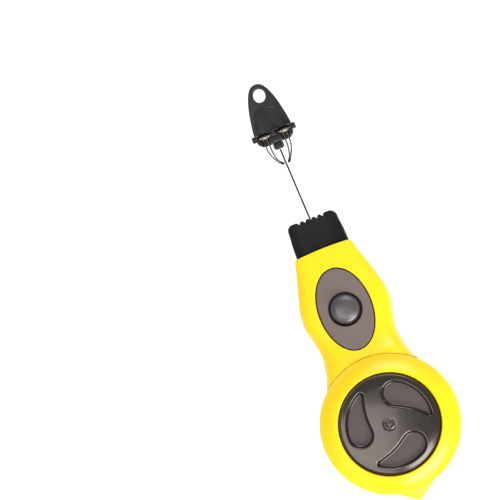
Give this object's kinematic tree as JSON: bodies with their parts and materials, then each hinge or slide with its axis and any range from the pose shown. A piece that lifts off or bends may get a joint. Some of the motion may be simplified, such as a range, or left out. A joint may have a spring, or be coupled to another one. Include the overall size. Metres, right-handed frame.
{
  "type": "chalk line reel",
  "caption": "Pocket chalk line reel: round sprung drum with a finger dial, waisted handle with a thumb button, black nose, and a hook tab with folding claws on the drawn-out line.",
  "frame": {"origin": "the drum's axis at the flat back face that the reel lies on", "axes": "+Y along the reel from the drum to the nose and the hook, +Z out of the front, -Z into the surface it lies on"},
  "size_m": [0.0704, 0.2235, 0.0335],
  "materials": {
    "yellow_case": "smooth moulded plastic, softly glossy",
    "black_plastic": "satin moulded plastic",
    "grey_grip": "fine matte texture",
    "dark_gloss": "polished dark plastic",
    "black_rubber": "matte",
    "steel": "bright drawn wire and machined steel",
    "brass": "turned",
    "nylon": "natural nylon",
    "felt": "pressed wool felt",
    "braided_line": "tight braid"
  },
  "bodies": {
    "case": {"rear_shell": "yellow_case", "handle_cover": "yellow_case", "drum_cover": "yellow_case", "nose_cap": "black_plastic", "thumb_pad": "grey_grip", "brake_pivot_pin": "steel", "brake_spring": "steel", "axle": "steel", "dial_screw": "steel", "spool_washer": "nylon", "line_guide": "brass", "felt_wiper_upper": "felt", "felt_wiper_lower": "felt", "filler_plug": "black_rubber", "case_screw_1": "steel", "case_screw_2": "steel", "case_screw_3": "steel", "case_screw_4": "steel", "case_screw_5": "steel", "case_screw_6": "steel", "inner_line": "braided_line", "free_line": "braided_line"},
    "reel": {"spool": "black_plastic", "spring_cover": "steel", "line_winding": "braided_line", "mainspring": "steel", "winding_dial": "dark_gloss"},
    "button": {"release_button": "dark_gloss"},
    "brake": {"brake_lever": "black_plastic", "brake_pad": "felt"},
    "hook": {"hook_tab": "black_plastic", "hook_pin": "steel", "line_anchor": "black_plastic"},
    "claw_left": {"claw_left": "steel"},
    "claw_right": {"claw_right": "steel"}
  },
  "joints": [
    {"name": "reel_wind", "type": "hinge", "parent": "case", "child": "reel", "pos_m": [0, 0, 0.018], "axis": [0, 0, -1], "range_deg": [0, 103], "deforming": ["mainspring"]},
    {"name": "hook_draw", "type": "slide", "parent": "case", "child": "hook", "axis": [0.0255, -0.9997, 0], "range_m": [0, 0.04458], "deforming": ["free_line"]},
    {"name": "claw_left_swing", "type": "hinge", "parent": "hook", "child": "claw_left", "pos_m": [-0.0014, 0.1567, 0.008], "axis": [-1, 0, 0], "range_deg": [0, 90]},
    {"name": "claw_right_swing", "type": "hinge", "parent": "hook", "child": "claw_right", "pos_m": [-0.0014, 0.1567, 0.008], "axis": [-1, 0, 0], "range_deg": [0, 90]},
    {"name": "button_press", "type": "slide", "parent": "case", "child": "button", "axis": [0, 0, -1], "range_m": [0, 0.002], "stiffness_N_per_m": 900, "springref_m": -0.001, "deforming": ["brake_spring"]},
    {"name": "brake_swing", "type": "hinge", "parent": "case", "child": "brake", "pos_m": [0, 0.044, 0.014], "axis": [-1, 0, 0], "range_deg": [0, 6.54]}
  ],
  "couplings": [
    {"joint": "hook_draw", "follows": "reel_wind", "m_per_rad": 0.0248},
    {"joint": "brake_swing", "follows": "button_press", "rad_per_m": 57.07}
  ]
}
